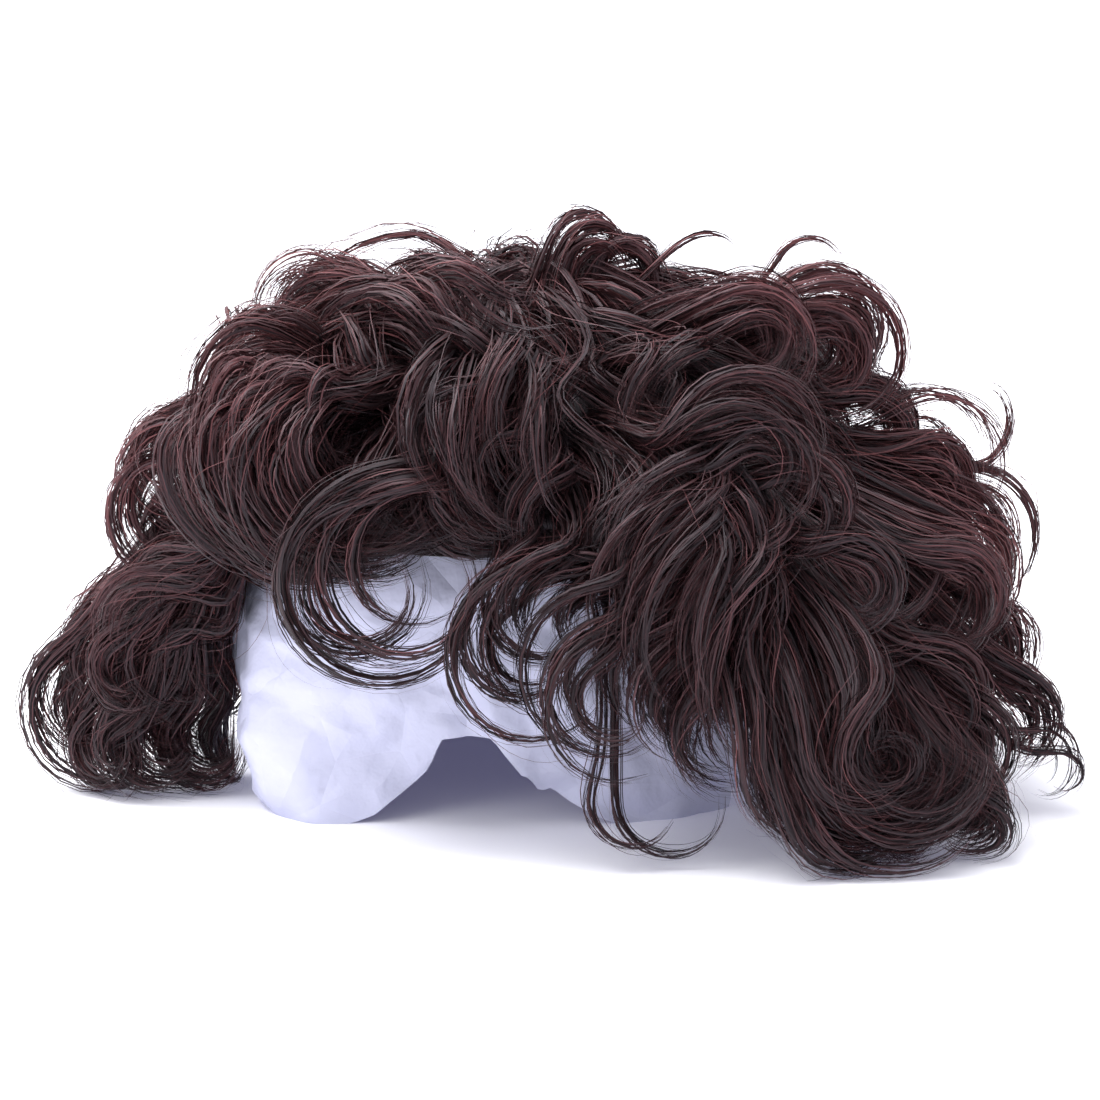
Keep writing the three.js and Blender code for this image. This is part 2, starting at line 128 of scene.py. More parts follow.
# Locks that lie between the main ones and close the mass
FILL_ROWS = [
    ("fringe, low", -36, -64, 95, 31, 165, 160, 11, 42),
    ("fringe, middle", -32, -65, 95, 28, 170, 155, 11, 36),
    ("fringe, high", -26, -66, 99, 24, 175, 145, 11, 30),
    ("fringe, under", -38, -62, 93, 30, 165, 165, 12, 46),
    ("fringe, lip", -33, -67, 95, 30, 175, 150, 12, 40),
    ("fringe, tuck", -30, -63, 94, 26, 180, 150, 12, 40),
    ("centre sheet", 30, -67, 92, 26, 150, 75, 11, 30),
    ("centre base", 15, -70, 80, 12, 110, 140, 10, 40),
    ("centre fan, inside", 34, -76, 71, 14, 100, 150, 10, 44),
    ("centre fan, veil", 48, -79, 67, 24, 95, 95, 11, 44),
    ("centre fan, low", 60, -81, 58, 26, 110, 90, 11, 48),
    ("centre drop", 6, -72, 91, 16, 170, 110, 8, 32),
    ("centre tuck", -1, -70, 89, 14, 165, 140, 6, 34),
    ("centre fan, left", 46, -82, 60, 30, 85, 100, 6, 44),
    ("centre fan, middle", 62, -84, 53, 33, 108, 85, 6, 46),
    ("centre fan, right", 76, -86, 51, 28, 125, 85, 7, 50),
    ("right cheek, upper", 71, -74, 82, 14, 120, -220, 6, 40),
    ("right cheek, lower", 106, -52, 57, 14, 100, -230, 8, 56),
    ("right low, front", 76, -86, 42, 16, 150, 150, 7, 62),
    ("right low, side", 103, -70, 36, 14, 100, -240, 7, 66),
    ("bottom roll, inside", 90, -80, 24, 14, 180, 190, 9, 68),
    ("bottom block, upper", 107, -68, 24, 12, 90, -260, 9, 68),
    ("bottom block, lower", 101, -80, 10, 8, 120, -250, 9, 69),
    ("bottom block, right", 109, -76, 14, 10, 80, -250, 9, 69),
    ("bottom corner, right", 110, -79, 9, 9, 100, -270, 10, 69),
    ("right core, low", 88, -50, 36, 13, 90, -200, 12, 66),
    ("right core, back", 100, -12, 36, 14, 90, -220, 12, 66),
    ("right core, high", 95, -18, 63, 14, 90, -220, 12, 56),
    ("right side", 114, -30, 42, 13, 80, -200, 8, 66),
    ("left lobe, front", -80, -35, 43, 17, 60, 160, 8, 58),
    ("left lobe, back", -89, -5, 36, 18, 70, 150, 8, 62),
    ("left lobe, inside", -75, -25, 30, 12, 90, 200, 6, 66),
    ("left lobe, fall", -58, -20, 37, 18, 120, 110, 9, 66),
    ("left lobe, middle", -85, -22, 30, 10, 80, 220, 9, 66),
    ("left lobe, base", -80, -18, 18, 9, 90, 250, 9, 68),
    ("left lobe, low", -89, -22, 14, 8, 80, 260, 9, 68),
    ("left lobe, gap", -72, -24, 36, 9, 60, 230, 8, 66),
    ("left lobe, skirt", -80, -20, 15, 15, 95, 255, 9, 66),
    ("left lobe, hem", -71, -16, 13, 13, 100, 265, 9, 68),
    ("left lobe, heel", -65, -10, 11, 11, 110, 280, 8, 69),
    ("left edge fall", -77, -22, 71, 15, 95, 190, 7, 56),
    ("left lobe, outer", -96, -14, 34, 12, 80, 200, 8, 66),
    ("left outline, fill", -52, -32, 98, 23, 100, 110, 8, 30),
    ("top left, outer", -34, -6, 99, 28, 70, 115, 9, 5),
    ("top left, inner", -31, -14, 98, 25, 72, 115, 10, 8),
    ("top left, back", -38, 8, 101, 24, 65, 125, 9, 5),
    ("top plateau", -10, 6, 99, 31, 100, 75, 9, -5),
    ("centre mass, left", 52, -84, 52, 24, 100, 130, 9, 46),
    ("centre mass, middle", 66, -84, 48, 27, 110, 120, 10, 50),
    ("centre mass, right", 78, -85, 45, 28, 120, 105, 10, 54),
    ("centre mass, low", 58, -80, 44, 16, 100, 150, 9, 58),
    ("centre mass, front", 41, -83, 44, 17, 90, 155, 10, 58),
    ("centre mass, under", 48, -81, 40, 14, 95, 170, 10, 60),
    ("centre mass, hem", 55, -83, 32, 15, 100, 190, 10, 62),
    ("right loops, outer", 127, -38, 24, 12, 95, -270, 4, 68),
    ("right loops, upper", 120, -36, 40, 12, 95, -240, 4, 66),
    ("right loops, low", 132, -40, 13, 10, 110, -290, 3, 68),
    ("bottom roll, heart", 90, -86, 27, 8, 150, 330, 9, 68),
    ("bottom roll, hub", 88, -82, 28, 4, 90, 300, 9, 68),
    ("bottom roll, ring", 89, -88, 28, 13, 120, 300, 9, 68),
    ("bottom roll, left", 78, -92, 24, 19, 150, 120, 8, 68),
    ("left roll, heart", -37, -56, 99, 8, 60, 300, 9, 28),
    ("left tail, floor", -95, -18, 13, 13, 115, 250, 9, 68),
    ("fringe, corner", -14, -65, 86, 14, 165, 130, 9, 42),
    ("centre lip", -2, -64, 84, 14, 190, 130, 9, 44),
    ("bottom roll, floor", 84, -90, 17, 16, 185, 155, 9, 68),
    ("bottom roll, right", 93, -88, 28, 22, 200, 190, 9, 68),
    ("bottom roll, sweep", 95, -84, 27, 19, 215, 170, 10, 68),
    ("bottom core", 103, -62, 26, 9, 90, -300, 12, 68),
    ("bottom block, left", 97, -84, 8, 7, 100, 250, 9, 69),
    ("left side, upper", -74, -22, 80, 17, 100, 130, 8, 52),
    ("left side, inner", -68, -24, 84, 14, 90, 140, 9, 50),
    ("top twist, right", 31, 2, 126, 9.5, 130, -210, 6, 12),
    ("right top roll, heart", 78, -13, 110, 11, 95, -270, 8, 32),
    ("right shoulder, upper", 90, -12, 88, 14, 105, -200, 9, 42),
    ("centre sheet, left", 6, -74, 98, 26, 150, 75, 9, 24),
    ("centre sheet, right", 18, -75, 97, 25, 148, 78, 9, 24),
    ("centre loop, inner", 18, -81, 60, 15, 80, 160, 8, 54),
    ("centre loop, core", 23, -82, 58, 10, 80, 150, 8, 56),
]
# Thin stray curls, too fine for the solids
STRAY_ROWS = [
    ("thin tail", 42, -88, 16, 14.5, 165, 215, 1.6, 68),
    ("thin stub", 33, -90, 16, 12, 140, 205, 1.6, 68),
    ("right small loop", 137, -40, 11, 7, 140, -300, 1.4, 68),
    ("right thin curl", 117, 0, 90, 13, -60, 165, 1.8, 55),
    ("right thin loop", 119, -5, 60, 19, 75, -150, 1.8, 60),
    ("right inner loop", 117, -8, 61, 15, 75, -150, 1.8, 60),
    ("top thin loop", 77, 0, 127, 11, 170, -170, 1.2, 25),
    ("top thin arc", 52, 0, 125, 14, 140, -110, 1.0, 15),
]
# Loose locks at the outline, which have no bands
LOOSE_LOCKS = {
    "left crown fringe", "left outline wave", "left flick",
    "right middle roll, outer", "right loops, outer", "right loops, upper", "right loops, low",
}

# Locks rooted to one side of the point where their curl starts: degrees toward +X
ROOT_TURN = {"crown sweep, near": -70, "crown sweep, far": -80}

# Locks of the sides and the back, in tiers
TIER_COLUMNS = ("count", "from", "to", "reach", "z", "radius", "width", "sweep", "tilt", "pitch")
BACK_TIERS = [
    (3, 125, 240, 46, 116, 15, 10, 190, 18, 50),
    (4, 108, 252, 80, 95, 18, 12, 205, 42, 25),
    (5, 96, 258, 90, 60, 20, 12.5, 215, 60, 5),
    (6, 102, 258, 86, 24, 17, 11, 225, 70, 0),
]
# How the locks of a tier differ, with a salt for each, and their depth and the angle where their curls start
BACK_VARY = dict(azimuth=5, reach=4, height=5, radius=0.15)
BACK_SALT = dict(reach=7, height=3, radius=5)
BACK_CURL = dict(depth_share=0.94, start=90, start_turn=20)

# The stem from the root to the curl: its reach as a share of the distance, its points and those of the
# whole line, the clearance to the stand as a share of the half width, and the rounds of smoothing
STEM = dict(reach=0.42, points=80, path_points=120, clear_share=0.7, smoothing=36)
# Samples along a lock: one for so many mm and one for so many degrees of bend, more if it is loose
SAMPLING = dict(each_mm=9, each_degrees=28, fewest=12, most=36, loose=1.6)
# How much locks differ in their twist, in radians, and in tone
LOCK_SPREAD = dict(twist=0.9, tone=0.045)
# Each lock is spread into thin ones that nest in its curl: shares of its radius and half width
NEST = dict(
    outer=1.12, inner=0.55, fill_inner=0.8, per_width=0.7, drift=0.13, depth=0.4, width=0.42, turn=12, tilt=4,
    radius_range=(0.94, 1.06), sweep_range=(0.82, 1.1), width_range=(0.8, 1.2), width_limits=(1.0, 4.5),
)
# Points along a wavy lock
WAVE_POINTS = 90
# Waves that run from the crown down over the root layer: mm and degrees, and ranges for random draws
CROWN = dict(
    count=86, half_width=88, half_depth=78, rise=72, sway=9, sway_grows=3, swirl=25, jitter=4, bend=120,
    first_tilt=4, last_tilt=(52, 74), cycles=(1.2, 2.0), width=(2.6, 4.2),
    swell=0.04, swell_pace=1.4, swell_spread=(0, 0.03),
)
# Wavy falls behind the locks of the sides and the back, from the crown almost to the floor
FALLS = dict(
    count=64, half_width=80, half_depth=71, rise=66, sway=5, sway_grows=3, jitter=0.4, bend=160,
    azimuth=(62, 256), tilt=((0, 0.5, 1), (28, 90, 90)), foot=(4, 24), cycles=(1.6, 2.6), width=(3.2, 5.2),
    swell=0.07, swell_pace=1.2, swell_spread=(0.02, 0.03),
)

# Kinds of hair, all of them flat ribbons. Half width in mm, inner and outer share of the lock's half width,
# height of the ripple in mm, where the shortest stop, tone and its spread, and how many are on a front lock
# and on another. The tone is partly painted light: the bands deep in a lock are darker, as in its shade,
# and the hairs and flyaways out at its edge lighter, as where light shines through them; the spread is
# random.
HAIR_COLUMNS = ("name", "wide", "inner", "outer", "ripple", "shortest", "tone", "spread", "front", "other")
HAIR_KINDS = [
    ("bands", 0.34, 0.0, 0.75, 0.35, 0.8, -0.09, 0.06, 9.0, 8.0),
    ("wisps", 0.16, 0.2, 1.05, 0.5, 0.75, 0.0, 0.08, 16.2, 8.6),
    ("hairs", 0.1, 0.6, 1.4, 1.0, 0.65, 0.14, 0.1, 4.6, 3.2),
    ("flyaways", 0.07, 1.2, 2.4, 2.0, 0.7, 0.24, 0.1, 1.2, 0.6),
]
# How a lock's width and a hair's width change from root to tip: places along it, and shares
FULLNESS = (0, 0.25, 0.65, 1), (0.75, 1, 1, 0.55)
TAPER = (0, 0.12, 0.7, 1), (0.5, 1, 1, 0.12)
# How hairs lie in a lock: drift round it and roll in radians, ripples with their length in mm and share of
# the height, and the clearance to the stand and to the floor in mm
LIE = dict(
    drift=0.35, roll=0.3, ripple_length=(28, 60), ripple_range=(0.4, 1.3), ripple_grows=4, sway_pace=0.8,
    clear=0.6, floor=0.3,
)
# How much hairs differ in width, and the widest as a share of their lock's half width
WIDTH_RANGE = 0.7, 1.25
WIDEST_SHARE = 0.65
# Painted light: tone added to a lock whose mean height in mm is as given, so the top of the hair is lighter
# and redder, as where light from above and behind shines through it
PAINTED_TOP_LIGHT = (70, 115), (0.0, 0.04)
# Light comes through the hair near its outline, an oval in mm: tone added by the reach to it,
# and the share of it at a height
RIM_OVAL = dict(half_width=118, foot=20, height=125)
RIM, RIM_FROM = ((0.8, 1.03), (0.0, 0.36)), ((25, 60), (0.0, 1.0))
# Colours of the hair from dark to light, each at a tone
HAIR_TONES = (
    (0.28, (0.0095, 0.0058, 0.0066, 1)),
    (0.82, (0.082, 0.029, 0.031, 1)),
    (1.0, (0.145, 0.049, 0.049, 1)),
)
# The root layer: its mesh, tilts of its rim and top row in degrees, its under side in mm, the tilt under
# which its ripples fade, the mm of grain to a row, and its tone, painted shade that makes it the darkest
# hair, as in the shade under the locks; then its thickness by tilt
ROOTS = dict(around=120, rows=24, rim_tilt=64, top_tilt=3, under=0.6, calm_tilt=30, grain=3.0, tone=-0.5)
ROOT_THICKNESS = (0, 40, 64), (16, 13, 5)
# Ripples of the root layer: height in mm, waves round it, radians to a degree of tilt
ROOT_RIPPLES = (1.2, 17, 0.2), (0.8, 29, 0.0)

# A piece is closed when it has more triangles than this, and the next is begun
PIECE_TRIANGLES = 180_000
# Half width in mm from which a lock has all its hairs, and how near the floor a hair may lie
FULL_WIDTH = 2.5
LOWEST = 0.15
# Cells of the ribbons' texture map: columns of cells, and where a ribbon starts and how far it reaches in one
UV_CELLS = dict(columns=4, start=0.02, length=0.96, side=0.08, width=0.42)
# Margin of a shell's texture map
UV_MARGIN = 0.01

# Lamps: name, place and aim in m, size in m, power in W
LAMPS = (
    ("overhead", (-0.4, -0.1, 1.25), (0.0, 0.0, 0.05), 1.0, 30),
    ("back_top", (-0.7, 0.5, 0.95), (0.0, 0.0, 0.1), 0.8, 9),
    ("front_left", (-0.9, -1.1, 0.75), (0.0, 0.0, 0.07), 0.7, 5),
)
FLOOR_SIZE = 12
# Camera: elevation in degrees, distance and width of the view in m, target in layout mm, sensor in mm
CAMERA = dict(elevation=12, distance=1.2, view_width=0.275, target=(13, 0, 57.5), sensor=36, clip_end=50)

# A direction that no lock starts along, the least length of a vector, and the least distance of a point
# from the middle of the stand, as a share of its reach, that is used to move it out
FRAME_START = 0.3, 0.2, 0.93
LEAST_LENGTH = 1e-9
LEAST_SHARE = 0.2


def vary(i, salt):
    """Repeatable irregularity between -1 and 1, the same as in the solids."""
    return math.sin(i * 2.399 + salt * 1.713) * 0.6 + math.sin(i * 5.117 + salt * 0.931) * 0.4


def outward(azimuth):
    """Unit direction for an azimuth in degrees from the front toward +X."""
    a = np.radians(azimuth)
    return np.stack([np.sin(a), -np.cos(a), np.zeros_like(a)], axis=-1)


def dome(azimuth, tilt, offset):
    """Point of the cap's outer dome, moved out by an offset."""
    azimuth, tilt, offset = np.broadcast_arrays(azimuth, np.radians(tilt), offset)
    side = outward(azimuth)
    return np.stack(
        [
            side[..., 0] * np.sin(tilt) * (CAP["half_width"] + offset),
            side[..., 1] * np.sin(tilt) * (CAP["half_depth"] + offset),
            CAP["centre_z"] + np.cos(tilt) * (CAP["rise"] + offset),
        ],
        axis=-1,
    )


def unit(v):
    return v / np.maximum(np.linalg.norm(v, axis=-1, keepdims=True), LEAST_LENGTH)


def clear_of_stand(points, margin, floor):
    """Points moved outside the cap and the stand, and up to the floor."""
    rise = np.maximum(points[..., 2] - CAP["centre_z"], 0)
    inside = np.sqrt(
        (points[..., 0] / (CAP["half_width"] + margin)) ** 2
        + (points[..., 1] / (CAP["half_depth"] + margin)) ** 2
        + (rise / (CAP["rise"] + margin)) ** 2
    )
    grow = 1 / np.clip(inside, LEAST_SHARE, 1)
    moved = points.copy()
    moved[..., 0] *= grow
    moved[..., 1] *= grow
    moved[..., 2] += rise * (grow - 1)
    moved[..., 2] = np.maximum(moved[..., 2], floor)
    return moved


# Guides: the centre line of each thin lock, its half width and a frame carried along it


def resample(points, count):
    steps = np.linalg.norm(np.diff(points, axis=0), axis=1)
    along = np.concatenate([[0], np.cumsum(steps)])
    at = np.linspace(0, along[-1], count)
    return np.stack([np.interp(at, along, points[:, k]) for k in range(3)], axis=1)


def path_length(path):
    return float(np.linalg.norm(np.diff(path, axis=0), axis=1).sum())


def carried_frame(path):
    """Two unit vectors across the path at each point, turned as little as possible along it."""
    tangent = unit(np.gradient(path, axis=0))
    normals = [unit(np.cross(tangent[0], FRAME_START))]
    for k in range(1, len(path)):
        normals.append(unit(normals[-1] - tangent[k] * np.dot(normals[-1], tangent[k])))
    normals = np.array(normals)
    return normals, np.cross(tangent, normals)


def sampled(smooth, count):
    """Points along a line, closer where it bends, and the frame that they carry."""
    step = np.diff(smooth, axis=0)
    length = np.linalg.norm(step, axis=1)
    heading = unit(step)
    bend = np.linalg.norm(np.diff(heading, axis=0, prepend=heading[:1]), axis=1)
    pace = (length / length.sum() + bend / bend.sum()) / 2
    at = np.concatenate([[0], np.cumsum(pace)])
    place = np.linspace(0, 1, count)
    path = np.stack([np.interp(place, at, smooth[:, axis]) for axis in range(3)], axis=-1)
    return dict(path=path, frame=carried_frame(path))


def with_path(lock, path, bend):
    """The lock with its centre line, sampled more closely where it is long or bends much."""
    length = path_length(path)
    closeness = SAMPLING["loose"] if lock["loose"] else 1.0
    wanted = closeness * (length / SAMPLING["each_mm"] + bend / SAMPLING["each_degrees"])
    count = int(np.clip(wanted, SAMPLING["fewest"], SAMPLING["most"])) // 2 * 2
    guide = dict(lock, smooth=path, length=length)
    guide.update(sampled(path, count))
    guide["twist"] = rng.normal(0, LOCK_SPREAD["twist"])
    # painted light: locks high on the hair get a lighter, redder tone
    guide["tone"] = rng.normal(0.0, LOCK_SPREAD["tone"]) + np.interp(path[:, 2].mean(), *PAINTED_TOP_LIGHT)
    return guide


def guide_of(lock):
    """The lock with a line from its root on the cap through a stem into its curl."""
    side = outward(lock["facing"])
    across = np.array([-side[1], side[0], 0.0])
    pitch = math.radians(lock["pitch"])
    facing = side * math.cos(pitch) + np.array([0, 0, math.sin(pitch)])
    up = np.cross(facing, across)
    centre = np.array([lock["x"], lock["y"], lock["z"]], dtype=float)
    t = np.linspace(0, 1, STEM["points"])[:, None]
    angle = np.radians(lock["start"] + lock["sweep"] * t)
    radius = lock["radius"] * (1 - CURL["tighten"] * t)
    advance = CURL["advance"] * t * abs(lock["sweep"]) / 360
    turn = centre + across * radius * np.cos(angle) + up * radius * np.sin(angle) + facing * advance

    begin = turn[0]
    heading = unit(turn[1] - turn[0])
    root_azimuth = math.degrees(math.atan2(begin[0], -begin[1])) + ROOT_TURN.get(lock["name"], 0)
    root = dome(root_azimuth, lock["tilt"], CURL["root_depth"])
    lift = unit(root - np.array([0, 0, CAP["centre_z"]]))
    reach = STEM["reach"] * np.linalg.norm(begin - root)
    approach = unit(heading + unit(begin - root))
    stem = (
        root * (1 - t) ** 3
        + (root + lift * reach) * 3 * t * (1 - t) ** 2
        + (begin - approach * reach / 2) * 3 * t**2 * (1 - t)
        + begin * t**3
    )
    path = resample(np.concatenate([stem[:-1], turn]), STEM["path_points"])
    path = clear_of_stand(path, STEM["clear_share"] * lock["width"], CURL["floor_share"] * lock["width"])
    for _ in range(STEM["smoothing"]):
        path[1:-1] = (path[:-2] + 2 * path[1:-1] + path[2:]) / 4
    return with_path(lock, path, abs(lock["sweep"]))


def lesser_locks(lock, inner):
    """Thin locks nested in the curl of a lock, from its outside in."""
    side = outward(lock["facing"])
    across = np.array([-side[1], side[0], 0.0])
    count = 1 + round(NEST["per_width"] * lock["width"])
    width = NEST["width"] * lock["width"]
    locks = []
    for nest in np.linspace(NEST["outer"], inner, count):
        along, rise = rng.normal(0, NEST["drift"], 2) * lock["radius"]
        place = across * along + side * rng.normal(0, NEST["depth"]) * lock["width"]
        locks.append(
            dict(
                lock,
                x=lock["x"] + place[0],
                y=lock["y"] + place[1],
                z=lock["z"] + rise,
                radius=lock["radius"] * nest * rng.uniform(*NEST["radius_range"]),
                start=lock["start"] + rng.normal(0, NEST["turn"]),
                sweep=lock["sweep"] * rng.uniform(*NEST["sweep_range"]),
                width=np.clip(width * rng.uniform(*NEST["width_range"]), *NEST["width_limits"]),
                tilt=lock["tilt"] + rng.normal(0, NEST["tilt"]),
                facing=lock["facing"] + rng.normal(0, NEST["turn"]),
                pitch=lock["pitch"] + rng.normal(0, NEST["turn"] / 2),
            )
        )
    return locks


def front_locks(rows):
    locks = []
    for row in rows:
        lock = dict(zip(LOCK_COLUMNS, row))
        lock["facing"] = TURN_TO_FRONT * math.degrees(math.atan2(lock["x"], -lock["y"]))
        lock["pitch"] = 0
        locks.append(lock)
    return locks


def back_locks():
    locks = []
    for number, row in enumerate(BACK_TIERS):
        tier = dict(zip(TIER_COLUMNS, row))
        for i in range(tier["count"]):
            differ = {key: vary(i, number + salt) for key, salt in BACK_SALT.items()}
            share = i / (tier["count"] - 1)
            azimuth = tier["from"] + (tier["to"] - tier["from"]) * share
            azimuth += BACK_VARY["azimuth"] * vary(i, number)
            place = outward(azimuth) * (tier["reach"] + BACK_VARY["reach"] * differ["reach"])
            turn = 1 if (i + number) % 2 == 0 else -1
            locks.append(
                dict(
                    name=f"back lock {number} {i}",
                    x=place[0] + HAIR_CENTRE_X,
                    y=place[1] * BACK_CURL["depth_share"],
                    z=tier["z"] + BACK_VARY["height"] * differ["height"],
                    radius=tier["radius"] * (1 + BACK_VARY["radius"] * differ["radius"]),
                    start=BACK_CURL["start"] + BACK_CURL["start_turn"] * turn,
                    sweep=turn * tier["sweep"],
                    width=tier["width"],
                    tilt=tier["tilt"],
                    pitch=tier["pitch"],
                    facing=azimuth,
                )
            )
    return locks


def sway_of(waves, t, cycles, phase):
    """Degrees that a wavy lock sways to each side along its length."""
    return waves["sway"] * np.sin(2 * np.pi * (cycles * t + phase)) * np.minimum(1, waves["sway_grows"] * t)


def swell_of(waves, t, cycles, phase):
    """Share by which a wavy lock stands off its dome along its length."""
    wave = np.sin(2 * np.pi * (waves["swell_pace"] * cycles * t + phase))
    return 1 + waves["swell"] * wave + rng.normal(*waves["swell_spread"])


def over_dome(waves, azimuth, tilt, swell):
    """Line of a wavy lock over a dome round the middle of the hair."""
    side = outward(azimuth)
    return np.stack(
        [
            HAIR_CENTRE_X + side[:, 0] * np.sin(tilt) * waves["half_width"] * swell,
            side[:, 1] * np.sin(tilt) * waves["half_depth"] * swell,
            CAP["centre_z"] + np.cos(tilt) * waves["rise"] * swell,
        ],
        axis=-1,
    )


def wavy_guide(name, waves, path):
    lock = dict(name=name, width=rng.uniform(*waves["width"]), front=False, loose=False)
    return with_path(lock, path, waves["bend"])


def crown_waves():
    """Wavy locks from the crown down to the rim, which cover the roots of the others."""
    guides = []
    t = np.linspace(0, 1, WAVE_POINTS)
    first = CROWN["first_tilt"]
    for i in range(CROWN["count"]):
        last = rng.uniform(*CROWN["last_tilt"])
        cycles, phase = rng.uniform(*CROWN["cycles"]), rng.uniform(0, 1)
        sway = sway_of(CROWN, t, cycles, phase)
        start = 360 * i / CROWN["count"] + rng.uniform(-CROWN["jitter"], CROWN["jitter"])
        tilt = np.radians(first + (last - first) * t)
        swell = swell_of(CROWN, t, cycles, phase)
        path = over_dome(CROWN, start + CROWN["swirl"] * t + sway, tilt, swell)
        guides.append(wavy_guide(f"crown wave {i}", CROWN, path))
    return guides


def back_falls():
    """Wavy locks that close the sides and the back between the curls."""
    guides = []
    t = np.linspace(0, 1, WAVE_POINTS)
    tilt = np.radians(np.interp(t, *FALLS["tilt"]))
    first, last = FALLS["azimuth"]
    for i in range(FALLS["count"]):
        share = (i + rng.uniform(-FALLS["jitter"], FALLS["jitter"])) / (FALLS["count"] - 1)
        cycles, phase = rng.uniform(*FALLS["cycles"]), rng.uniform(0, 1)
        azimuth = first + (last - first) * share + sway_of(FALLS, t, cycles, phase)
        swell = swell_of(FALLS, t, cycles, phase)
        drop = (CAP["centre_z"] - rng.uniform(*FALLS["foot"])) * np.clip(2 * t - 1, 0, 1)
        path = over_dome(FALLS, azimuth, tilt, swell)
        path[:, 2] -= drop
        guides.append(wavy_guide(f"back fall {i}", FALLS, path))
    return guides


def all_guides():
    """Guides of every thin lock: the crown, the falls, the front, the back and the strays."""
    guides = crown_waves() + back_falls()
    for rows, inner in ((LOCK_ROWS, NEST["inner"]), (FILL_ROWS, NEST["fill_inner"])):
        for lock in front_locks(rows):
            lock.update(front=True, loose=lock["name"] in LOOSE_LOCKS)
            guides += [guide_of(lesser) for lesser in lesser_locks(lock, inner)]
    for lock in back_locks():
        lock.update(front=False, loose=False)
        guides += [guide_of(lesser) for lesser in lesser_locks(lock, NEST["inner"])]
    for lock in front_locks(STRAY_ROWS):
        lock.update(front=True, loose=True)
        guides.append(guide_of(lock))
    return guides


# Hairs gathered round a guide


def gathered(guide, count, kind):
    """Paths of hairs that follow a guide, and their outward vectors."""
    samples = len(guide["path"])
    t = np.linspace(0, 1, samples)
    stop = rng.uniform(kind["shortest"], 1, count)[:, None]
    at = t[None, :] * stop * (samples - 1)
    low = np.minimum(at.astype(int), samples - 2)
    part = (at - low)[..., None]

    def along(values):
        return values[low] * (1 - part) + values[low + 1] * part

    centre = along(guide["path"])
    normal = along(guide["frame"][0])
    binormal = along(guide["frame"][1])
    angle = 2 * np.pi * (np.arange(count) + rng.uniform(0, 1, count)) / count + rng.uniform(0, 2 * np.pi)
    share = np.sqrt(rng.uniform(kind["inner"] ** 2, kind["outer"] ** 2, count))
    drift = rng.normal(0, LIE["drift"], count)[:, None] * t
    turned = angle[:, None] + guide["twist"] * t[None, :] + drift
    out = np.cos(turned)[..., None] * normal + np.sin(turned)[..., None] * binormal
    across = -np.sin(turned)[..., None] * normal + np.cos(turned)[..., None] * binormal
    reach = share[:, None] * guide["width"] * np.interp(t * stop, *FULLNESS)
    cycles = guide["length"] / rng.uniform(*LIE["ripple_length"], count)
    phase = rng.uniform(0, 2 * np.pi, (2, count, 1))
    height = kind["ripple"] * rng.uniform(*LIE["ripple_range"], (count, 1))
    height = height * np.minimum(1, LIE["ripple_grows"] * t)
    swell = height * np.sin(2 * np.pi * cycles[:, None] * t + phase[0])
    sway = height * np.sin(2 * np.pi * LIE["sway_pace"] * cycles[:, None] * t + phase[1])
    path = centre + out * (reach + swell)[..., None] + across * sway[..., None]
    roll = rng.normal(0, LIE["roll"], count)[:, None, None]
    return clear_of_stand(path, LIE["clear"], LIE["floor"]), unit(out * np.cos(roll) + across * np.sin(roll))


def rim_tone(points):
    """What light through the hair adds to its tone near the outline."""
    across = (points[:, 0] - HAIR_CENTRE_X) / RIM_OVAL["half_width"]
    up = (points[:, 2] - RIM_OVAL["foot"]) / RIM_OVAL["height"]
    return np.interp(np.hypot(across, up), *RIM) * np.interp(points[:, 2], *RIM_FROM)


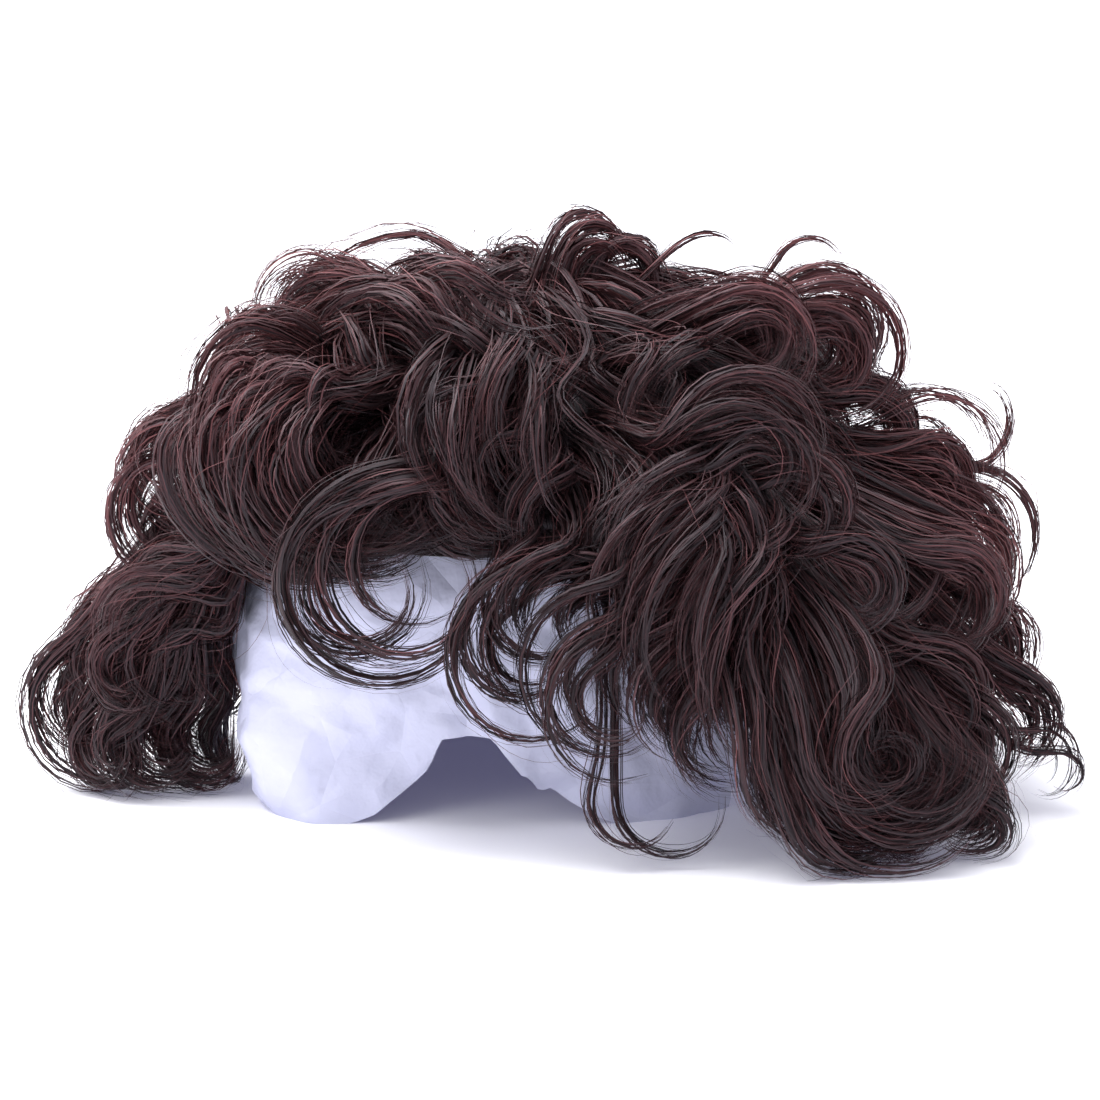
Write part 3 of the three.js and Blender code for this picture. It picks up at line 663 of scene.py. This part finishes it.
class Ribbons:
    """Tapered flat ribbons of hair that are joined into one mesh."""

    def __init__(self, name):
        self.name = name
        self.blocks = []

    def add(self, paths, outs, wide, tone):
        self.blocks.append((paths, outs, wide, tone))

    def triangles(self):
        return sum(2 * len(block[0]) * (block[0].shape[1] - 1) for block in self.blocks)

    def build(self, material):
        in_all = sum(len(block[0]) for block in self.blocks)
        parts, first, first_point = [], 0, 0
        for samples in sorted({block[0].shape[1] for block in self.blocks}):
            same = [block for block in self.blocks if block[0].shape[1] == samples]
            part = self.batch(*(np.concatenate(values) for values in zip(*same)), first, in_all)
            part["quads"] += first_point
            first += sum(len(block[0]) for block in same)
            first_point += len(part["points"])
            parts.append(part)
        whole = {key: np.concatenate([part[key] for part in parts]) for key in parts[0]}
        values = {key: whole[key] for key in ("grain", "tone")}
        points, quads, uv = (whole[key] for key in ("points", "quads", "uv"))
        no_triangles = np.empty((0, 3), dtype=int)
        return make_piece(self.name, points, quads, no_triangles, uv, values, material)

    def batch(self, paths, outs, wide, tone, first, in_all):
        """Arrays for ribbons that have the same number of samples."""
        count, samples = paths.shape[:2]
        tangent = unit(np.gradient(paths, axis=1))
        out = unit(outs - tangent * (outs * tangent).sum(axis=-1, keepdims=True))
        side = np.cross(tangent, out)
        beside = np.stack([wide, -wide], axis=-1)
        points = (paths[:, :, None] + beside[..., None] * side[:, :, None]).reshape(-1, 3)
        points[:, 2] = np.maximum(points[:, 2], LOWEST)
        ribbon, step = np.meshgrid(np.arange(count), np.arange(samples - 1), indexing="ij")
        here = (ribbon * samples + step) * 2
        quads = np.stack([here, here + 1, here + 3, here + 2], axis=-1).reshape(-1, 4)

        columns = UV_CELLS["columns"]
        rows = math.ceil(in_all / columns)
        row, column = np.divmod(ribbon + first, columns)

        def cell(at, edge):
            u = (column + UV_CELLS["start"] + UV_CELLS["length"] * at / (samples + 1)) / columns
            v = (row + UV_CELLS["side"] + UV_CELLS["width"] * edge) / rows
            return np.stack([u, v], axis=-1)

        corners = (1, 0), (1, 1), (2, 1), (2, 0)
        uv = np.stack([cell(step + ahead, edge) for ahead, edge in corners], axis=-2)

        length = np.cumsum(np.linalg.norm(np.diff(paths, axis=1, prepend=paths[:, :1]), axis=-1), axis=1)
        seed = rng.uniform(0, 100, count)
        grain = np.stack(np.broadcast_arrays(beside, seed[:, None, None], length[..., None]), axis=-1)
        return dict(
            points=points,
            quads=quads,
            uv=uv.reshape(-1, 2),
            grain=grain.reshape(-1, 3),
            tone=np.repeat(tone, samples * 2) + rim_tone(points),
        )


def make_piece(name, points, quads, triangles, uv, values, material):
    """Smooth mesh object from points in layout mm, with a texture map and named values at its points."""
    mesh = bpy.data.meshes.new(name)
    mesh.vertices.add(len(points))
    mesh.vertices.foreach_set("co", (points * MM + LAYOUT_ORIGIN).astype(np.float32).ravel())
    corners = np.concatenate([quads.ravel(), triangles.ravel()]).astype(np.int32)
    mesh.loops.add(len(corners))
    mesh.loops.foreach_set("vertex_index", corners)
    starts = np.concatenate([np.arange(len(quads)) * 4, len(quads) * 4 + np.arange(len(triangles)) * 3])
    mesh.polygons.add(len(starts))
    mesh.polygons.foreach_set("loop_start", starts.astype(np.int32))
    mesh.update(calc_edges=True)
    mesh.polygons.foreach_set("use_smooth", np.ones(len(starts), dtype=bool))
    layer = mesh.uv_layers.new(name="OFBake")
    layer.data.foreach_set("uv", uv.astype(np.float32).ravel())
    for key, value in values.items():
        vector = value.ndim == 2
        attribute = mesh.attributes.new(key, "FLOAT_VECTOR" if vector else "FLOAT", "POINT")
        attribute.data.foreach_set("vector" if vector else "value", value.astype(np.float32).ravel())
    mesh.materials.append(material)
    piece = bpy.data.objects.new(name, mesh)
    bpy.context.collection.objects.link(piece)
    return piece


def shell_piece(name, outer, inner, outer_top, inner_top, values, material):
    """Closed shell between an outer and an inner stack of rings from the rim up, with a pole on each."""
    rows = np.concatenate([outer[::-1], inner])
    n, a = rows.shape[:2]
    points = np.concatenate([rows.reshape(-1, 3), [outer_top], [inner_top]])
    i, k = np.meshgrid(np.arange(n - 1), np.arange(a), indexing="ij")
    after = (k + 1) % a
    low, high = i * a, (i + 1) * a
    quads = np.stack([low + k, high + k, high + after, low + after], axis=-1).reshape(-1, 4)
    ring = np.arange(a)
    turned = (ring + 1) % a
    top = np.stack([np.full(a, n * a), ring, turned], axis=-1)
    under = np.stack([np.full(a, n * a + 1), (n - 1) * a + turned, (n - 1) * a + ring], axis=-1)

    def cell(row, step):
        inside = 1 - 2 * UV_MARGIN
        return np.stack([UV_MARGIN + inside * step / a, UV_MARGIN + inside * row / (n + 1)], axis=-1)

    none = ring * 0
    quad_uv = np.stack([cell(i + 1, k), cell(i + 2, k), cell(i + 2, k + 1), cell(i + 1, k + 1)], axis=-2)
    top_uv = np.stack([cell(none, ring + 0.5), cell(none + 1, ring), cell(none + 1, ring + 1)], axis=-2)
    last = none + n
    under_uv = np.stack([cell(last + 1, ring + 0.5), cell(last, ring + 1), cell(last, ring)], axis=-2)
    uv = np.concatenate([quad_uv.reshape(-1, 2), top_uv.reshape(-1, 2), under_uv.reshape(-1, 2)])
    return make_piece(name, points, quads, np.concatenate([top, under]), uv, values, material)


# Materials


def new_material(name):
    material = bpy.data.materials.new(name)
    material.use_nodes = True
    nodes = material.node_tree.nodes
    return material, nodes, material.node_tree.links, nodes["Principled BSDF"]


def hair_material():
    """Satin brown hair: streaks run along each ribbon, and each ribbon has its own tone."""
    material, nodes, links, shader = new_material("curled_brown_hair")
    grain = nodes.new("ShaderNodeAttribute")
    grain.attribute_name = "grain"
    tone = nodes.new("ShaderNodeAttribute")
    tone.attribute_name = "tone"
    stretch = nodes.new("ShaderNodeVectorMath")
    stretch.operation = "MULTIPLY"
    stretch.inputs[1].default_value = (4.6, 1.0, 0.03)
    links.new(grain.outputs["Vector"], stretch.inputs[0])
    streak = nodes.new("ShaderNodeTexNoise")
    streak.inputs["Scale"].default_value = 1.0
    streak.inputs["Detail"].default_value = 4.0
    links.new(stretch.outputs[0], streak.inputs["Vector"])
    contrast = nodes.new("ShaderNodeMapRange")
    contrast.clamp = False
    contrast.inputs["From Min"].default_value = 0.3
    contrast.inputs["From Max"].default_value = 0.7
    contrast.inputs["To Min"].default_value = -0.06
    contrast.inputs["To Max"].default_value = 0.82
    links.new(streak.outputs["Fac"], contrast.inputs["Value"])
    mixed = nodes.new("ShaderNodeMath")
    mixed.operation = "ADD"
    links.new(contrast.outputs["Result"], mixed.inputs[0])
    links.new(tone.outputs["Fac"], mixed.inputs[1])
    ramp = nodes.new("ShaderNodeValToRGB")
    stops = ramp.color_ramp.elements
    stops[0].position, stops[0].color = HAIR_TONES[0]
    stops[1].position, stops[1].color = HAIR_TONES[1]
    stops.new(HAIR_TONES[2][0]).color = HAIR_TONES[2][1]
    links.new(mixed.outputs[0], ramp.inputs["Fac"])
    links.new(ramp.outputs["Color"], shader.inputs["Base Color"])
    bump = nodes.new("ShaderNodeBump")
    bump.inputs["Strength"].default_value = 0.5
    bump.inputs["Distance"].default_value = 0.0004
    links.new(streak.outputs["Fac"], bump.inputs["Height"])
    links.new(bump.outputs["Normal"], shader.inputs["Normal"])
    shader.inputs["Roughness"].default_value = 0.38
    shader.inputs["Specular IOR Level"].default_value = 0.27
    shader.inputs["Specular Tint"].default_value = (0.98, 0.9, 1.0, 1)
    shader.inputs["Anisotropic"].default_value = 0.8
    tangent = nodes.new("ShaderNodeTangent")
    tangent.direction_type = "UV_MAP"
    tangent.uv_map = "OFBake"
    links.new(tangent.outputs["Tangent"], shader.inputs["Tangent"])
    return material


def paper_material():
    """White paper with a cool cast and fine crinkles."""
    material, nodes, links, shader = new_material("crumpled_white_paper")
    place = nodes.new("ShaderNodeTexCoord")
    crinkle = nodes.new("ShaderNodeTexVoronoi")
    crinkle.feature = "DISTANCE_TO_EDGE"
    crinkle.inputs["Scale"].default_value = 55
    links.new(place.outputs["Object"], crinkle.inputs["Vector"])
    fine = nodes.new("ShaderNodeTexNoise")
    fine.inputs["Scale"].default_value = 160
    fine.inputs["Detail"].default_value = 3
    links.new(place.outputs["Object"], fine.inputs["Vector"])
    height = nodes.new("ShaderNodeMath")
    height.operation = "MULTIPLY_ADD"
    height.inputs[1].default_value = 3.2
    links.new(crinkle.outputs["Distance"], height.inputs[0])
    links.new(fine.outputs["Fac"], height.inputs[2])
    bump = nodes.new("ShaderNodeBump")
    bump.inputs["Strength"].default_value = 0.8
    bump.inputs["Distance"].default_value = 0.001
    links.new(height.outputs[0], bump.inputs["Height"])
    links.new(bump.outputs["Normal"], shader.inputs["Normal"])
    shader.inputs["Base Color"].default_value = (0.505, 0.515, 0.66, 1)
    shader.inputs["Roughness"].default_value = 0.6
    return material


def plain_material(name, colour, roughness, metallic=0.0):
    material, _, _, shader = new_material(name)
    shader.inputs["Base Color"].default_value = (*colour, 1)
    shader.inputs["Roughness"].default_value = roughness
    shader.inputs["Metallic"].default_value = metallic
    return material


# The stand


def facet_height(azimuth, z, facet, number):
    """Height of flat triangular facets that meet in straight creases; the paper's seam is at the back."""
    arc = ((azimuth + 180) % 360 - 180) / 360 * 2 * np.pi * STAND_SECTIONS["half_width"][0]
    u = (arc + facet["lean"] * z) / facet["size"] + FACET_START["first"]
    v = (z - facet["lean"] * arc) / facet["size"] + FACET_START["first"] + FACET_START["between"] * number
    i, j = np.floor(u).astype(int), np.floor(v).astype(int)
    fu, fv = u - i, v - j
    corner = {
        (a, b): FACET_HEIGHTS[(i + a) % FACET_CELLS, (j + b) % FACET_CELLS]
        for a in (0, 1)
        for b in (0, 1)
    }
    near = corner[0, 0] + (corner[1, 0] - corner[0, 0]) * fu + (corner[0, 1] - corner[0, 0]) * fv
    far = corner[1, 1] + (corner[0, 1] - corner[1, 1]) * (1 - fu) + (corner[1, 0] - corner[1, 1]) * (1 - fv)
    return facet["height"] * np.where(fu + fv < 1, near, far)


def paper_offset(azimuth, z):
    """How far the crumpled paper stands off its smooth section."""
    fade = np.clip((STAND["shoulder_z"] - z) / STAND["smooth_band"], 0, 1)
    fade = fade * fade * (3 - 2 * fade)
    return fade * sum(facet_height(azimuth, z, facet, number) for number, facet in enumerate(FACETS))


def section_reach(azimuth, z):
    """Distance from the axis to the smooth section at a height."""
    width, depth, power = (np.interp(z, STAND_SECTIONS["z"], STAND_SECTIONS[key])
                           for key in ("half_width", "half_depth", "power"))
    side = np.abs(outward(azimuth))
    return ((side[..., 0] / width) ** power + (side[..., 1] / depth) ** power) ** (-1 / power)


def stand_face(offset):
    """Rows of points from the foot to just under the top, for one face of the paper."""
    azimuth = np.arange(STAND["around"]) * 360 / STAND["around"]
    side = outward(azimuth)
    foot_x = side[:, 0] * section_reach(azimuth, 0)
    foot = np.where(side[:, 1] < 0, np.interp(foot_x, ARCH_X, ARCH_Z), 0)
    rise = np.linspace(0, 1, STAND["wall_rows"])[:, None]
    z = foot + (STAND["shoulder_z"] - foot) * rise
    turn = np.broadcast_to(azimuth, z.shape)
    reach = section_reach(turn, z) + offset + paper_offset(turn, z)
    wall = outward(turn) * reach[..., None]
    wall[..., 2] = z
    shoulder_rise = STAND["shoulder_z"] - CAP["centre_z"]
    shoulder = math.degrees(math.acos(shoulder_rise / (CAP["rise"] - STAND["inset"])))
    up = np.linspace(0, 1, STAND["dome_rows"] + 1)[1:] ** STAND["crowding"]
    tilts = shoulder - (shoulder - STAND["last_tilt"]) * up
    top = dome(azimuth[None, :], tilts[:, None], offset - STAND["inset"])
    return np.concatenate([wall, top])


def paper_stand(material):
    outer, inner = stand_face(0), stand_face(-STAND["wall"])
    tops = dome(0, 0, -STAND["inset"]), dome(0, 0, -STAND["inset"] - STAND["wall"])
    piece = shell_piece("paper_stand", outer, inner, *tops, {}, material)
    piece.data.set_sharp_from_angle(angle=math.radians(STAND["crease"]))
    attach(piece, "root")
    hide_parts("stand")


# The hair


def keep_as_hair(piece):
    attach(piece, "root")
    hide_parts("hair")


def hair_pieces(row, guides, material):
    """Meshes of one kind of hair along all the guides, each within the triangle limit."""
    kind = dict(zip(HAIR_COLUMNS, row))
    ribbons, number = Ribbons(f"hair_{kind['name']}_1"), 1
    for guide in guides:
        wanted = kind["front"] if guide["front"] else kind["other"]
        count = int(wanted * min(1, guide["width"] / FULL_WIDTH) + rng.random())
        if count == 0 or (guide["name"] in LOOSE_LOCKS and kind["name"] == "bands"):
            continue
        if kind["name"] == "flyaways":
            guide = dict(guide, **sampled(guide["smooth"], 2 * len(guide["path"])))
        path, out = gathered(guide, count, kind)
        taper = np.interp(np.linspace(0, 1, path.shape[1]), *TAPER)
        scale = rng.uniform(*WIDTH_RANGE, (count, 1)) * taper
        wide = min(kind["wide"], WIDEST_SHARE * guide["width"]) * scale
        # painted light and shade: each kind's tone is darker deep in the lock and lighter at its edge
        ribbons.add(path, out, wide, guide["tone"] + rng.normal(kind["tone"], kind["spread"], count))
        if ribbons.triangles() > PIECE_TRIANGLES:
            keep_as_hair(ribbons.build(material))
            number += 1
            ribbons = Ribbons(f"hair_{kind['name']}_{number}")
    if ribbons.blocks:
        keep_as_hair(ribbons.build(material))


def root_layer(material):
    """Hair roots packed over the cap, under all the locks, in painted shade: they take the darkest tone."""
    azimuth = np.arange(ROOTS["around"]) * 360 / ROOTS["around"]
    tilt = np.linspace(ROOTS["rim_tilt"], ROOTS["top_tilt"], ROOTS["rows"])[:, None]
    ripple = sum(
        height * np.sin(np.radians(azimuth * waves) + tilt * slant) for height, waves, slant in ROOT_RIPPLES
    )
    thickness = np.interp(tilt, *ROOT_THICKNESS) + ripple * np.minimum(1, tilt / ROOTS["calm_tilt"])
    outer = dome(azimuth[None, :], tilt, thickness)
    inner = dome(azimuth[None, :], tilt, ROOTS["under"])
    outer_top = dome(0, 0, ROOT_THICKNESS[1][0])
    inner_top = dome(0, 0, ROOTS["under"])
    steps = len(tilt) * 2
    side = np.broadcast_to(azimuth, (steps, len(azimuth))).ravel()
    down = np.repeat(np.arange(steps) * ROOTS["grain"], len(azimuth))
    grain = np.concatenate([np.stack([side, 0 * side, down], axis=-1), np.zeros((2, 3))])
    # painted shade: the roots take a tone far below the locks', the darkest brown
    values = dict(grain=grain, tone=np.full(len(grain), ROOTS["tone"]))
    keep_as_hair(shell_piece("hair_roots", outer, inner, outer_top, inner_top, values, material))


def dress_hair():
    hair = hair_material()
    root_layer(hair)
    guides = all_guides()
    for row in HAIR_KINDS:
        hair_pieces(row, guides, hair)


def dress_nodes():
    net = plain_material("dark_net", (0.02, 0.012, 0.011), 0.9)
    metal = plain_material("dark_clip_metal", (0.05, 0.038, 0.034), 0.35, 0.7)
    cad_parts["base_cap"].data.materials.clear()
    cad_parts["base_cap"].data.materials.append(net)
    for name in ("clip_front", "clip_back", "clip_left", "clip_right"):
        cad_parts[name].data.materials.clear()
        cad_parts[name].data.materials.append(metal)


# Floor, light and camera


def studio():
    bpy.ops.mesh.primitive_plane_add(size=FLOOR_SIZE, location=(0, 0, 0))
    floor = bpy.context.object
    floor.name = "floor"
    floor_material, _, _, shader = new_material("white_floor")
    shader.inputs["Base Color"].default_value = (0.9, 0.9, 0.91, 1)
    shader.inputs["Roughness"].default_value = 0.9
    # painted light: the floor glows faintly blue, which keeps it white and tints its shadows lavender
    shader.inputs["Emission Color"].default_value = (0.6, 0.58, 1.0, 1)
    shader.inputs["Emission Strength"].default_value = 0.1
    floor.data.materials.append(floor_material)

    world = bpy.data.worlds.new("soft_room")
    bpy.context.scene.world = world
    world.use_nodes = True
    background = world.node_tree.nodes["Background"]
    background.inputs["Color"].default_value = (0.93, 0.93, 1.0, 1)
    background.inputs["Strength"].default_value = 1.15

    for name, place, aim, size, watts in LAMPS:
        lamp = bpy.data.lights.new(name, "AREA")
        lamp.size = size
        lamp.energy = watts
        holder = bpy.data.objects.new(name, lamp)
        holder.location = place
        bpy.context.collection.objects.link(holder)
        holder.rotation_euler = look(place, aim)


def look(place, aim):
    """Rotation of a lamp or camera at a place that points at an aim."""
    return (Vector(aim) - Vector(place)).to_track_quat("-Z", "Y").to_euler()


def photo_camera():
    elevation = math.radians(CAMERA["elevation"])
    target = LAYOUT_ORIGIN + np.array(CAMERA["target"]) * MM
    place = target + CAMERA["distance"] * np.array([0, -math.cos(elevation), math.sin(elevation)])
    camera = bpy.data.cameras.new("photo_camera")
    camera.sensor_width = CAMERA["sensor"]
    camera.lens = CAMERA["sensor"] * CAMERA["distance"] / CAMERA["view_width"]
    camera.clip_end = CAMERA["clip_end"]
    holder = bpy.data.objects.new("photo_camera", camera)
    holder.location = place
    holder.rotation_euler = look(place, target)
    bpy.context.collection.objects.link(holder)
    bpy.context.scene.camera = holder


photo_camera()
studio()
bpy.context.scene.view_settings.view_transform = "Standard"
paper_stand(paper_material())
dress_nodes()
dress_hair()
